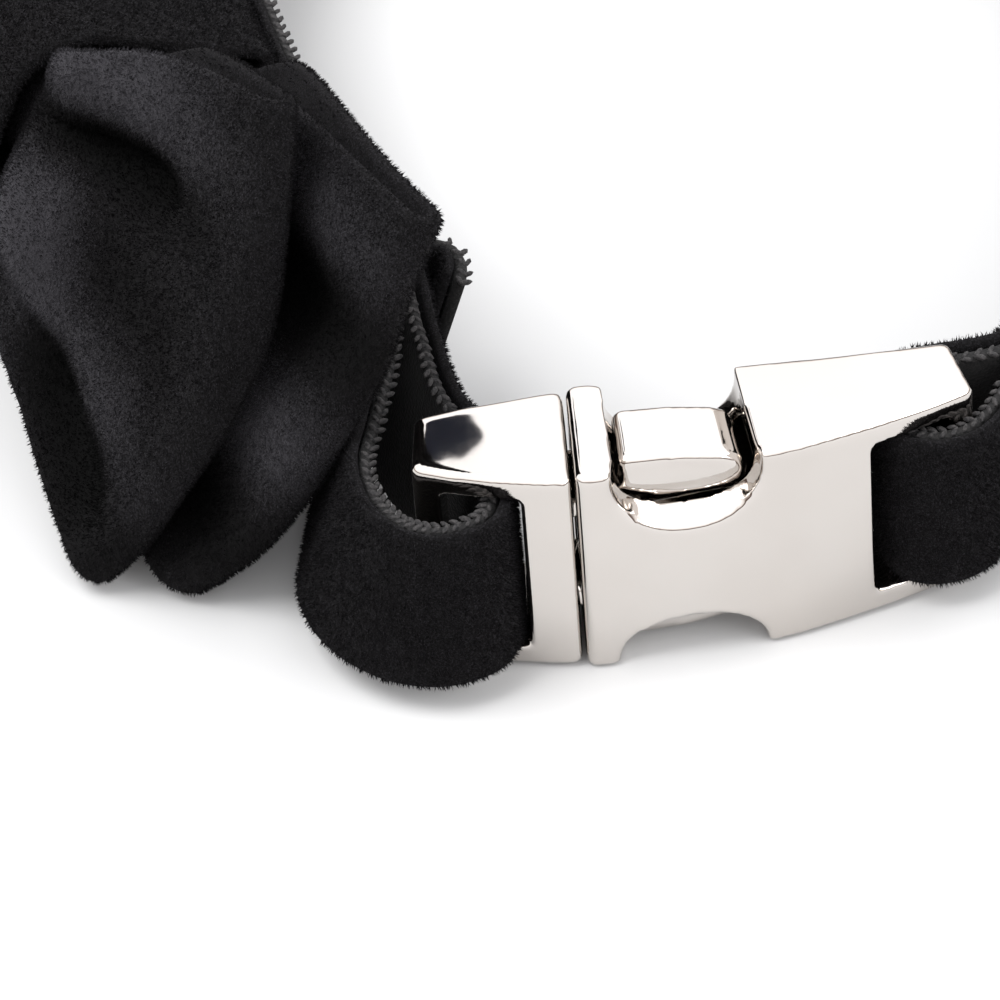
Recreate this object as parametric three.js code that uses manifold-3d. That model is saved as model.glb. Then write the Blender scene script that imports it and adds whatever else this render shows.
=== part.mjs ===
// Pet bow tie collar: a velvet faced webbing band that closes with a curved metal side release buckle
// and carries a bow of two velvet loops held by a knot band.
// Millimetres and degrees. X runs along the buckle, Y away from its front, Z up.
import * as THREE from "three";
import { mergeVertices } from "three/addons/utils/BufferGeometryUtils.js";
import Module from "manifold-3d";

const wasm = await Module();
wasm.setup();

// Clearances
const TOUCH_GAP = 0.3;
const PIN_CLEARANCE = 0.3;

// Buckle
const BUCKLE_CURVE_RADIUS = 160;
const BUCKLE_HALF_HEIGHT = 14.1;
const MALE_HALF_HEIGHT = 13.75;
const MALE_END_X = -29.8;
const SHOULDER_X = -14.2;
const FLANGE_WIDTH = 3.4;
const FEMALE_END_X = 26.8;
const FEMALE_END_HALF_HEIGHT = 13.6;
const TAPER_START_X = 5.0;
const EDGE_BEVEL = 0.7;
const END_BAR_WIDTH = 2.7;
const MALE_SLOT_WIDTH = 7.9;
const FEMALE_SLOT_WIDTH = 8.5;
const SLOT_CORNER_RADIUS = 0.8;
const MOUTH_HALF_DEPTH = 4.1;
const MOUTH_HALF_HEIGHT = 11.3;
const CAVITY_HALF_HEIGHT = 9.6;
const CAVITY_END_X = 12.5;
const PIN_X = -15.9;
const PIN_Z = 6.4;
const PIN_RADIUS = 0.7;
const PIN_WALL = 0.8;
const SOCKET_WALL = 0.8;
const CURVE_STEP = 2.5;
const PIN_SIDES = 12;

// Half thickness of the cast halves along X, from the strap end to the shoulder and from the flange on
const MALE_THICKNESS = [
  { x: MALE_END_X, half: 3.3 },
  { x: MALE_END_X + 0.6, half: 3.9 },
  { x: -26, half: 4.8 },
  { x: -22, half: 5.6 },
  { x: -17, half: 6.4 },
  { x: SHOULDER_X - 0.6, half: 6.6 },
  { x: SHOULDER_X, half: 6.1 },
];
const FLANGE_X = SHOULDER_X + TOUCH_GAP;
const WINDOW_LEFT_X = FLANGE_X + FLANGE_WIDTH;
const FEMALE_THICKNESS = [
  { x: FLANGE_X, half: 6.2 },
  { x: FLANGE_X + 0.7, half: 6.9 },
  { x: WINDOW_LEFT_X - 0.7, half: 6.9 },
  { x: WINDOW_LEFT_X + 0.1, half: 6.6 },
  { x: 4, half: 6.7 },
  { x: 8, half: 6.4 },
  { x: 16, half: 5.4 },
  { x: 22.6, half: 4.5 },
  { x: FEMALE_END_X - 0.6, half: 3.9 },
  { x: FEMALE_END_X, half: 3.3 },
];

// Side windows: each is a rounded cut, wide at the front face and narrower at the lever
const WINDOW_CENTRE_X = -3.0;
const WINDOWS = [
  { side: 1, centreZ: 13.0, frontHalf: 7.45, frontDepth: 8.2, innerHalf: 7.1, innerDepth: 6.0 },
  { side: -1, centreZ: 14.2, frontHalf: 7.6, frontDepth: 6.0, innerHalf: 7.1, innerDepth: 6.6 },
];
const WINDOW_RIM_DEPTH = 2.6;
const WINDOW_FRONT_POWER = 2;
const WINDOW_INNER_POWER = 2.4;
const WINDOW_STEPS = 32;

// Lever outline from the pin to the button, X and Z
const LEVER_EYE_RADIUS = 1.8;
const LEVER_EYE_SIDES = 16;
const LEVER_BEVEL = 0.6;
const LEVER_OUTLINE = [
  { x: PIN_X + LEVER_EYE_RADIUS / 2, z: 4.9 },
  { x: 3.4, z: 6.7 },
  { x: 3.5, z: 9.7 },
  { x: 2.7, z: 11.1 },
  { x: 1.0, z: 12.0 },
  { x: -3.4, z: 12.9 },
  { x: -8.7, z: 13.2 },
  { x: WINDOW_LEFT_X + 1.05, z: 12.4 },
  { x: WINDOW_LEFT_X + 1.05, z: 9.8 },
  { x: PIN_X + LEVER_EYE_RADIUS / 2, z: 7.9 },
];

// Strap
const WEBBING_WIDTH = 20;
const WEBBING_THICKNESS = 1.3;
const VELVET_WIDTH = 21;
const VELVET_THICKNESS = 1.1;
const STRAP_Z = BUCKLE_HALF_HEIGHT;
const BACK_Z = VELVET_WIDTH / 2;
const KNOT_Z = 17;
const KNOT_LEAN = 26;

// Reach of the worn ring from the buckle's middle, to its right side and to its back
const RING_SIDE = 63.5;
const RING_BACK = 134;

// Strap route in plan from its left sewn end, through both end bars, to its right sewn end.
// z is the height of the strap's middle. tipX and tipY move its top edge over, in mm for each mm of height.
const STRAP_ROUTE = [
  { x: -24.9, y: 29.0, z: STRAP_Z, tipX: 0.34, tipY: 0.05 },
  { x: -24.3, y: 31.2, z: STRAP_Z, tipX: 0.34, tipY: 0.05 },
  { x: -24.9, y: 33.7, z: STRAP_Z, tipX: 0.34, tipY: 0.05 },
  { x: -27.0, y: 34.4, z: STRAP_Z, tipX: 0.34, tipY: 0.05 },
  { x: -28.5, y: 32.2, z: STRAP_Z, tipX: 0.33, tipY: 0.05 },
  { x: -28.6, y: 29.0, z: STRAP_Z, tipX: 0.33, tipY: 0.04 },
  { x: -28.2, y: 21.0, z: STRAP_Z, tipX: 0.31, tipY: 0 },
  { x: -26.4, y: 12.5, z: STRAP_Z, tipX: 0.2, tipY: 0 },
  { x: -22.6, y: 6.0, z: STRAP_Z, tipX: 0.07, tipY: 0 },
  { x: -21.2, y: 0.0, z: STRAP_Z, tipX: 0, tipY: 0 },
  { x: -23.2, y: -5.9, z: STRAP_Z, tipX: 0, tipY: 0.03 },
  { x: -26.8, y: -7.3, z: STRAP_Z, tipX: 0, tipY: 0.05 },
  { x: -29.9, y: -7.2, z: STRAP_Z, tipX: 0.03, tipY: 0.06 },
  { x: -33.3, y: -5.6, z: STRAP_Z, tipX: 0.12, tipY: 0.06 },
  { x: -36.1, y: -2.5, z: STRAP_Z, tipX: 0.22, tipY: 0.05 },
  { x: -37.8, y: 1.4, z: STRAP_Z, tipX: 0.3, tipY: 0.03 },
  { x: -38.2, y: 6.0, z: STRAP_Z, tipX: 0.35, tipY: 0 },
  { x: -36.8, y: 11.0, z: STRAP_Z, tipX: 0.38, tipY: 0 },
  { x: -34.3, y: 19.0, z: STRAP_Z, tipX: 0.4, tipY: 0 },
  { x: -32.5, y: 28.0, z: STRAP_Z + 0.3, tipX: 0.4, tipY: 0 },
  { x: -32.8, y: 39.0, z: STRAP_Z + 1.1, tipX: 0.42, tipY: 0 },
  { x: -35.8, y: 52.0, z: KNOT_Z - 0.5, tipX: 0.45, tipY: 0.03 },
  { x: -38.6, y: 63.0, z: KNOT_Z, tipX: 0.48, tipY: 0.06 },
  { x: -39.8, y: 70.5, z: KNOT_Z, tipX: 0.484, tipY: 0.06, knot: true },
  { x: -40.7, y: 78.0, z: KNOT_Z, tipX: 0.48, tipY: 0.06 },
  { x: -40.7, y: 87.0, z: KNOT_Z - 1, tipX: 0.38, tipY: 0 },
  { x: -37.5, y: 99.0, z: KNOT_Z - 3, tipX: 0.2, tipY: -0.05 },
  { x: -0.449 * RING_SIDE, y: 0.858 * RING_BACK, z: BACK_Z + 1, tipX: 0.05, tipY: -0.03 },
  { x: -0.22 * RING_SIDE, y: 0.951 * RING_BACK, z: BACK_Z, tipX: 0, tipY: 0 },
  { x: 0.079 * RING_SIDE, y: RING_BACK, z: BACK_Z, tipX: 0, tipY: 0 },
  { x: 0.394 * RING_SIDE, y: 0.989 * RING_BACK, z: BACK_Z, tipX: 0, tipY: 0 },
  { x: 0.661 * RING_SIDE, y: 0.922 * RING_BACK, z: BACK_Z, tipX: 0, tipY: 0 },
  { x: 0.858 * RING_SIDE, y: 0.813 * RING_BACK, z: BACK_Z, tipX: 0, tipY: 0 },
  { x: 0.969 * RING_SIDE, y: 0.679 * RING_BACK, z: BACK_Z + 0.3, tipX: 0, tipY: 0 },
  { x: RING_SIDE, y: 0.537 * RING_BACK, z: BACK_Z + 0.9, tipX: 0, tipY: 0 },
  { x: 0.961 * RING_SIDE, y: 0.396 * RING_BACK, z: BACK_Z + 1.8, tipX: 0, tipY: 0 },
  { x: 0.858 * RING_SIDE, y: 0.261 * RING_BACK, z: BACK_Z + 2.8, tipX: 0, tipY: 0 },
  { x: 45.0, y: 19.0, z: STRAP_Z - 0.2, tipX: 0, tipY: 0 },
  { x: 37.0, y: 8.2, z: STRAP_Z, tipX: 0, tipY: 0 },
  { x: 31.6, y: 1.2, z: STRAP_Z, tipX: 0, tipY: 0 },
  { x: 28.8, y: -2.2, z: STRAP_Z, tipX: 0, tipY: 0 },
  { x: 25.8, y: -4.0, z: STRAP_Z, tipX: 0, tipY: 0 },
  { x: 22.0, y: -4.1, z: STRAP_Z, tipX: 0, tipY: 0 },
  { x: 19.5, y: -2.4, z: STRAP_Z, tipX: 0, tipY: 0 },
  { x: 18.7, y: 1.5, z: STRAP_Z, tipX: 0, tipY: 0 },
  { x: 19.4, y: 5.4, z: STRAP_Z, tipX: 0, tipY: 0 },
  { x: 21.6, y: 7.4, z: STRAP_Z, tipX: 0, tipY: 0 },
  { x: 25.2, y: 7.8, z: STRAP_Z, tipX: 0, tipY: 0 },
  { x: 29.0, y: 7.8, z: STRAP_Z, tipX: 0, tipY: 0 },
  { x: 32.2, y: 8.4, z: STRAP_Z, tipX: 0, tipY: 0 },
  { x: 34.6, y: 11.0, z: STRAP_Z, tipX: 0, tipY: 0 },
  { x: 42.0, y: 21.0, z: STRAP_Z - 0.2, tipX: 0, tipY: 0 },
  { x: 47.0, y: 29.4, z: STRAP_Z - 0.4, tipX: 0, tipY: 0 },
];
const STRAP_STEPS = 156;

// Bow, in its own frame: s runs along it towards the buckle, h up it, n outwards from the strap.
const BOW_WALL = 1.6;
const NEAR_YAW = 15.5;
const FAR_YAW = -6;
const YAW_START = 5;
const YAW_LENGTH = 15;
const KNOT_HALF_WIDTH = 9;
const KNOT_HALF_HEIGHT = 8.4;

// Folds that fan out from the knot. v is the place up the loop from -1 to 1 and rise the height of
// the fold, both at even stations from the knot to the end. Width is in the same measure as v.
const FRONT_FOLDS = [
  { name: "top lobe", v: [0.85, 0.85, 0.8, 0.75, 0.7], rise: [0, 2.8, 2.8, 1.4, 0.4], width: 0.26 },
  { name: "upper valley", v: [0.31, 0.38, 0.4, 0.42, 0.45], rise: [0, -6, -5.6, -0.8, 0], width: 0.15 },
  { name: "bowl", v: [0.05, 0.02, -0.1, -0.12, -0.2], rise: [0, 1.6, -1, -0.6, 0], width: 0.2 },
  { name: "lower ridge", v: [-0.16, -0.33, -0.4, -0.45, -0.6], rise: [0, 4, 1.6, 1.6, 0.8], width: 0.2 },
  { name: "lower valley", v: [-0.6, -0.66, -0.72, -0.76, -0.8], rise: [0, 0.6, -4.6, -3.6, -1], width: 0.2 },
  { name: "lower lobe", v: [-1, -1, -1, -1, -1], rise: [0, 0.6, 0.6, 0.4, 0], width: 0.14 },
];
const REAR_FOLDS = [
  { name: "upper ridge", v: [0.6, 0.75, 0.78, 0.72, 0.7], rise: [0, 0.6, 1.2, 1.4, 0.8], width: 0.2 },
  { name: "middle valley", v: [0.1, 0.3, 0.3, 0.3, 0.3], rise: [0, -1.8, -3.4, -3.4, -1.4], width: 0.2 },
  { name: "lower ridge", v: [-0.1, -0.3, -0.3, -0.2, -0.2], rise: [0, 0.5, 1, 2.2, 1.6], width: 0.2 },
  { name: "lower valley", v: [-0.5, -0.62, -0.7, -0.7, -0.7], rise: [-0.2, -1.2, -2.6, -2.8, -1.2], width: 0.18 },
];
const BACK_FOLDS = [
  { name: "upper pleat", v: [0.6, 0.7, 0.7], rise: [0, 0.9, 0.6], width: 0.22 },
  { name: "middle valley", v: [0.1, 0.15, 0.1], rise: [0, -2.0, -0.8], width: 0.25 },
  { name: "lower pleat", v: [-0.5, -0.55, -0.5], rise: [0, 1.2, 0.6], width: 0.22 },
];

// Reach and heights of each loop, and its distance out from the strap at the knot's edge and the end.
const BOW_LOOPS = {
  bow_front: {
    reach: 51.0,
    sweepTop: 0.17,
    sweepBottom: 0.17,
    slantTop: 0.8,
    slantBottom: 0.8,
    endTop: 32.5,
    endBottom: 37.0,
    gatherTop: 19.0,
    gatherBottom: 17.0,
    knotFront: 25.4,
    knotBack: 15.9,
    knotRound: 5.6,
    endFront: 32.5,
    endBack: 28.6,
    lowFlareFront: 0,
    lowFlareBack: 0,
    puff: 3.8,
    folds: FRONT_FOLDS,
  },
  bow_back: {
    reach: 58.8,
    sweepTop: 0.05,
    sweepBottom: 0.2,
    slantTop: 4.5,
    slantBottom: -1.0,
    endTop: 26.8,
    endBottom: 32.0,
    gatherTop: 19.0,
    gatherBottom: 16.0,
    knotFront: 13.0,
    knotBack: 3.0,
    knotRound: 0,
    endFront: 23.6,
    endBack: 20.4,
    lowFlareFront: 2.8,
    lowFlareBack: 0,
    puff: 0,
    folds: REAR_FOLDS,
  },
};
const BOW_ROWS = 12;
const FRONT_COLUMNS = 11;
const BACK_COLUMNS = 6;
const TURN_COLUMNS = 4;
const LOW_FLARE_POWER = 1.5;
const KNOT_ROUND_POWER = 4;
const KNOT_ROUND_SHARE = 0.2;
const PUFF_SHARE = 0.2;

// Knot band
const KNOT_WALL = 1.6;
const KNOT_EASE = 1.7;
const KNOT_CROWN = 0.9;
const KNOT_FRONT_RADIUS = 8;
const KNOT_BACK_RADIUS = 2.4;
const KNOT_CORNER_STEPS = 5;

const radians = THREE.MathUtils.degToRad;
const lerp = THREE.MathUtils.lerp;
const smoothstep = THREE.MathUtils.smoothstep;

// Closed mesh to manifold solid and back
function solidOf(geometry) {
  const plain = geometry.clone();
  plain.deleteAttribute("normal");
  plain.deleteAttribute("uv");
  const merged = mergeVertices(plain, 1e-4);
  return new wasm.Manifold(
    new wasm.Mesh({
      numProp: 3,
      vertProperties: new Float32Array(merged.attributes.position.array),
      triVerts: new Uint32Array(merged.index.array),
    }),
  );
}

function geometryOf(solid) {
  const mesh = solid.getMesh();
  return indexedGeometry(mesh.vertProperties, mesh.triVerts);
}

function indexedGeometry(positions, indices) {
  const geometry = new THREE.BufferGeometry();
  geometry.setAttribute("position", new THREE.Float32BufferAttribute(positions, 3));
  geometry.setIndex(Array.from(indices));
  geometry.computeVertexNormals();
  return geometry;
}

// Moves every vertex of a geometry by a function of its place
function warp(geometry, place) {
  const position = geometry.attributes.position;
  const point = new THREE.Vector3();
  for (let i = 0; i < position.count; i += 1) {
    place(point.fromBufferAttribute(position, i));
    position.setXYZ(i, point.x, point.y, point.z);
  }
  return geometry;
}

// Bends the straight buckle round the neck's curve and lifts it to the strap's height
function bendToNeck(point) {
  const radius = BUCKLE_CURVE_RADIUS - point.y;
  const angle = point.x / BUCKLE_CURVE_RADIUS;
  point.set(
    radius * Math.sin(angle),
    BUCKLE_CURVE_RADIUS - radius * Math.cos(angle),
    point.z + STRAP_Z,
  );
}

function interpolate(table, x, column) {
  const last = table.length - 1;
  if (x <= table[0].x) return table[0][column];
  for (let i = 1; i <= last; i += 1) {
    const a = table[i - 1];
    const b = table[i];
    if (x <= b.x) return lerp(a[column], b[column], (x - a.x) / (b.x - a.x));
  }
  return table[last][column];
}

// Splits a run of X values so that no stretch is longer than the curve step
function stations(table) {
  const xs = [table[0].x];
  for (let i = 1; i < table.length; i += 1) {
    const from = table[i - 1].x;
    const to = table[i].x;
    const count = Math.max(1, Math.ceil((to - from) / CURVE_STEP));
    for (let k = 1; k <= count; k += 1) xs.push(lerp(from, to, k / count));
  }
  return xs;
}

// Cast half: its plan outline raised to its full height with bevelled rims
function castBlock(table, halfHeight) {
  const xs = stations(table);
  const front = xs.map((x) => new THREE.Vector2(x, -interpolate(table, x, "half")));
  const back = xs.map((x) => new THREE.Vector2(x, interpolate(table, x, "half"))).reverse();
  const geometry = new THREE.ExtrudeGeometry(new THREE.Shape([...front, ...back]), {
    depth: 2 * (halfHeight - EDGE_BEVEL),
    bevelThickness: EDGE_BEVEL,
    bevelSize: EDGE_BEVEL,
    bevelOffset: -EDGE_BEVEL,
    bevelSegments: 2,
  });
  return geometry.translate(0, 0, EDGE_BEVEL - halfHeight);
}

// Box between two X values, with straight sides split along X so that it bends with the casting
function straightBox(x0, x1, halfDepth, z0, z1) {
  const segments = Math.max(1, Math.ceil((x1 - x0) / CURVE_STEP));
  const box = new THREE.BoxGeometry(x1 - x0, 2 * halfDepth, z1 - z0, segments, 1, 1);
  return box.translate((x0 + x1) / 2, 0, (z0 + z1) / 2);
}

// Strap slot right through the casting, with rounded corners
function slotCutter(x0, x1) {
  const r = SLOT_CORNER_RADIUS;
  const halfHeight = VELVET_WIDTH / 2 + TOUCH_GAP;
  const shape = new THREE.Shape();
  shape.moveTo(x0 + r, -halfHeight);
  shape.lineTo(x1 - r, -halfHeight);
  shape.absarc(x1 - r, -halfHeight + r, r, -Math.PI / 2, 0);
  shape.lineTo(x1, halfHeight - r);
  shape.absarc(x1 - r, halfHeight - r, r, 0, Math.PI / 2);
  shape.lineTo(x0 + r, halfHeight);
  shape.absarc(x0 + r, halfHeight - r, r, Math.PI / 2, Math.PI);
  shape.lineTo(x0, -halfHeight + r);
  shape.absarc(x0 + r, -halfHeight + r, r, Math.PI, 1.5 * Math.PI);
  const depth = 2 * BUCKLE_HALF_HEIGHT;
  const geometry = new THREE.ExtrudeGeometry(shape, { depth, bevelEnabled: false, curveSegments: 3 });
  return geometry.translate(0, 0, -depth / 2).rotateX(Math.PI / 2);
}

// Solid lofted through rings of points that all have the same count, capped at both ends
function loft(rings) {
  const count = rings[0].length;
  const positions = rings.flat().flatMap((p) => [p.x, p.y, p.z]);
  const indices = [];
  for (let r = 0; r + 1 < rings.length; r += 1) {
    for (let i = 0; i < count; i += 1) {
      const a = r * count + i;
      const b = r * count + ((i + 1) % count);
      indices.push(a, b, b + count, a, b + count, a + count);
    }
  }
  const last = (rings.length - 1) * count;
  for (let i = 1; i + 1 < count; i += 1) {
    indices.push(0, i + 1, i);
    indices.push(last, last + i, last + i + 1);
  }
  return indexedGeometry(positions, indices);
}

// Coordinate of a superellipse, squarer than an ellipse when the power is over 2
function superPower(value, power) {
  return Math.sign(value) * Math.abs(value) ** (2 / power);
}

// Window cut: a cone through the front wall, then straight through to the back
function windowCutter(window) {
  const rimY = -MOUTH_HALF_DEPTH;
  const faceY = rimY - WINDOW_RIM_DEPTH;
  const slopeHalf = window.frontHalf - window.innerHalf;
  const slopeDepth = window.frontDepth - window.innerDepth;
  const beyond = 2;
  const sections = [
    { y: -faceY + beyond, half: window.innerHalf, depth: window.innerDepth, power: WINDOW_INNER_POWER },
    { y: rimY, half: window.innerHalf, depth: window.innerDepth, power: WINDOW_INNER_POWER },
    {
      power: WINDOW_FRONT_POWER,
      y: faceY - beyond,
      half: window.frontHalf + (slopeHalf * beyond) / WINDOW_RIM_DEPTH,
      depth: window.frontDepth + (slopeDepth * beyond) / WINDOW_RIM_DEPTH,
    },
  ];
  return loft(
    sections.map((section) =>
      Array.from({ length: WINDOW_STEPS }, (_, i) => {
        const angle = (2 * Math.PI * i) / WINDOW_STEPS;
        return new THREE.Vector3(
          WINDOW_CENTRE_X + section.half * superPower(Math.cos(angle), section.power),
          section.y,
          window.side * window.centreZ + section.depth * superPower(Math.sin(angle), section.power),
        );
      }),
    ),
  );
}

// Round pin along Y
function crossPin(radius, halfLength, side) {
  const pin = new THREE.CylinderGeometry(radius, radius, 2 * halfLength, PIN_SIDES);
  return pin.translate(PIN_X, 0, side * PIN_Z);
}

function bent(geometry) {
  return solidOf(warp(geometry, bendToNeck));
}

function buckleMale() {
  const slotStart = MALE_END_X + END_BAR_WIDTH;
  const socketStart = slotStart + MALE_SLOT_WIDTH + SOCKET_WALL;
  let body = bent(castBlock(MALE_THICKNESS, MALE_HALF_HEIGHT));
  body = body.subtract(bent(slotCutter(slotStart, slotStart + MALE_SLOT_WIDTH)));
  const socket = straightBox(
    socketStart, SHOULDER_X + 1, MOUTH_HALF_DEPTH, -CAVITY_HALF_HEIGHT, CAVITY_HALF_HEIGHT,
  );
  body = body.subtract(bent(socket));
  for (const side of [1, -1]) {
    body = body.add(bent(crossPin(PIN_RADIUS, MOUTH_HALF_DEPTH + PIN_WALL, side)));
  }
  return body;
}

function buckleFemale() {
  const endShare = FEMALE_END_HALF_HEIGHT / BUCKLE_HALF_HEIGHT;
  const tapered = warp(castBlock(FEMALE_THICKNESS, BUCKLE_HALF_HEIGHT), (point) => {
    const along = (point.x - TAPER_START_X) / (FEMALE_END_X - TAPER_START_X);
    point.z *= lerp(1, endShare, Math.max(0, along));
  });
  const slotEnd = FEMALE_END_X - END_BAR_WIDTH;
  const slotStart = slotEnd - FEMALE_SLOT_WIDTH;
  let body = bent(tapered);
  body = body.subtract(bent(slotCutter(slotStart, slotEnd)));
  const windowRight = WINDOW_CENTRE_X + WINDOWS[0].innerHalf;
  body = body.subtract(
    bent(straightBox(FLANGE_X - 1, windowRight, MOUTH_HALF_DEPTH, -MOUTH_HALF_HEIGHT, MOUTH_HALF_HEIGHT)),
  );
  body = body.subtract(
    bent(straightBox(WINDOW_LEFT_X, CAVITY_END_X, MOUTH_HALF_DEPTH, -CAVITY_HALF_HEIGHT, CAVITY_HALF_HEIGHT)),
  );
  for (const window of WINDOWS) body = body.subtract(bent(windowCutter(window)));
  return body;
}

function releaseLever(side) {
  const halfDepth = MOUTH_HALF_DEPTH - TOUCH_GAP;
  const outline = new THREE.Shape(LEVER_OUTLINE.map((p) => new THREE.Vector2(p.x, p.z)));
  const straightHalf = halfDepth - LEVER_BEVEL;
  const arm = new THREE.ExtrudeGeometry(outline, {
    depth: 2 * straightHalf,
    bevelThickness: LEVER_BEVEL,
    bevelSize: LEVER_BEVEL,
    bevelOffset: -LEVER_BEVEL,
    bevelSegments: 1,
  });
  arm.translate(0, 0, -straightHalf).rotateX(Math.PI / 2);
  const eye = new THREE.CylinderGeometry(
    LEVER_EYE_RADIUS, LEVER_EYE_RADIUS, 2 * straightHalf, LEVER_EYE_SIDES,
  );
  eye.translate(PIN_X, 0, PIN_Z);
  const bore = crossPin(PIN_RADIUS + PIN_CLEARANCE, halfDepth + 1, 1);
  let lever = solidOf(arm).add(solidOf(eye)).subtract(solidOf(bore));
  if (side < 0) lever = lever.mirror([0, 0, 1]);
  return solidOf(warp(geometryOf(lever), bendToNeck));
}

// Sheet of cloth: a grid of middle points made into a closed wall of even thickness
function clothWall(grid, thickness, closed) {
  const columns = grid.length;
  const rows = grid[0].length;
  const at = (i, j) => grid[closed ? (i + columns) % columns : Math.min(columns - 1, Math.max(0, i))][
    Math.min(rows - 1, Math.max(0, j))
  ];
  const positions = [];
  for (const half of [thickness / 2, -thickness / 2]) {
    for (let i = 0; i < columns; i += 1) {
      for (let j = 0; j < rows; j += 1) {
        const along = at(i + 1, j).clone().sub(at(i - 1, j));
        const up = at(i, j + 1).clone().sub(at(i, j - 1));
        const normal = along.cross(up).normalize();
        const point = at(i, j).clone().addScaledVector(normal, half);
        positions.push(point.x, point.y, point.z);
      }
    }
  }
  const offset = columns * rows;
  const index = (i, j) => (i % columns) * rows + j;
  const indices = [];
  const spans = closed ? columns : columns - 1;
  const quad = (a, b, c, d) => indices.push(a, b, c, a, c, d);
  for (let i = 0; i < spans; i += 1) {
    for (let j = 0; j + 1 < rows; j += 1) {
      quad(index(i, j), index(i + 1, j), index(i + 1, j + 1), index(i, j + 1));
      quad(
        offset + index(i, j + 1), offset + index(i + 1, j + 1),
        offset + index(i + 1, j), offset + index(i, j),
      );
    }
    quad(index(i + 1, 0), index(i, 0), offset + index(i, 0), offset + index(i + 1, 0));
    const top = rows - 1;
    quad(index(i, top), index(i + 1, top), offset + index(i + 1, top), offset + index(i, top));
  }
  if (!closed) {
    const end = columns - 1;
    for (let j = 0; j + 1 < rows; j += 1) {
      quad(index(0, j), index(0, j + 1), offset + index(0, j + 1), offset + index(0, j));
      quad(index(end, j + 1), index(end, j), offset + index(end, j), offset + index(end, j + 1));
    }
  }
  return indexedGeometry(positions, indices);
}

// Strap frames: place, outward normal and up direction along the route
const strapCurve = new THREE.CatmullRomCurve3(
  STRAP_ROUTE.map((row) => new THREE.Vector3(row.x, row.y, row.z)),
  false,
  "centripetal",
);

function strapFrame(share) {
  const place = strapCurve.getPoint(share);
  const tangent = strapCurve.getTangent(share).setZ(0).normalize();
  const rowPlace = share * (STRAP_ROUTE.length - 1);
  const row = Math.min(STRAP_ROUTE.length - 2, Math.floor(rowPlace));
  const tip = (column) => lerp(STRAP_ROUTE[row][column], STRAP_ROUTE[row + 1][column], rowPlace - row);
  const up = new THREE.Vector3(tip("tipX"), tip("tipY"), 1).normalize();
  const normal = up.clone().cross(tangent).normalize();
  return { place, tangent, up, normal };
}

// One layer of the strap, set off from the seam line between webbing and velvet
function strapLayer(width, thickness, side) {
  const offset = (side * (thickness + TOUCH_GAP)) / 2;
  const grid = [];
  for (let i = 0; i <= STRAP_STEPS; i += 1) {
    const { place, up, normal } = strapFrame(i / STRAP_STEPS);
    const middle = place.clone().addScaledVector(normal, offset);
    grid.push([-0.5, 0, 0.5].map((share) => middle.clone().addScaledVector(up, share * width)));
  }
  return clothWall(grid, thickness, false);
}

// Bow frame: it sits on the velvet where the route carries the knot
const knotRow = STRAP_ROUTE.findIndex((row) => row.knot);
const knotFrame = strapFrame(knotRow / (STRAP_ROUTE.length - 1));
const bowSeat = knotFrame.place
  .clone()
  .addScaledVector(knotFrame.normal, VELVET_THICKNESS + 1.5 * TOUCH_GAP);

function bowPoint(s, h, n) {
  const turn = smoothstep(Math.abs(s), YAW_START, YAW_START + YAW_LENGTH);
  const yaw = radians(s > 0 ? NEAR_YAW : FAR_YAW) * turn * Math.sign(s);
  const lean = radians(KNOT_LEAN);
  const outward = n * Math.cos(lean) - h * Math.sin(lean);
  const along = s * Math.cos(yaw) + outward * Math.sin(yaw);
  const away = outward * Math.cos(yaw) - s * Math.sin(yaw);
  const flat = new THREE.Vector3(-knotFrame.tangent.y, knotFrame.tangent.x, 0);
  return bowSeat
    .clone()
    .addScaledVector(knotFrame.tangent, -along)
    .addScaledVector(flat, away)
    .add(new THREE.Vector3(0, 0, h * Math.cos(lean) + n * Math.sin(lean)));
}

// Half height of the cloth below or above the bow's middle line, which never reaches under the floor
function clothHalfHeight(loop, s, n, v) {
  const spread = v > 0 ? loop.gatherTop : loop.gatherBottom;
  const gathered = 1 - Math.exp(-Math.max(0, s - KNOT_HALF_WIDTH) / spread);
  const end = v > 0 ? loop.endTop : loop.endBottom;
  const free = KNOT_HALF_HEIGHT + (end - KNOT_HALF_HEIGHT) * gathered;
  if (v > 0) return free;
  const lean = radians(KNOT_LEAN);
  const floor = (bowSeat.z + (n - BOW_WALL) * Math.sin(lean)) / Math.cos(lean);
  return Math.min(free, floor);
}

// Value at share t of a fold column given at even stations from the knot to the end
function alongFold(values, t) {
  const place = t * (values.length - 1);
  const i = Math.min(values.length - 2, Math.floor(place));
  return lerp(values[i], values[i + 1], smoothstep(place - i, 0, 1));
}

function foldRise(folds, t, v) {
  return folds.reduce((sum, fold) => {
    const distance = (v - alongFold(fold.v, t)) / fold.width;
    return sum + alongFold(fold.rise, t) * Math.exp(-distance * distance);
  }, 0);
}

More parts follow.
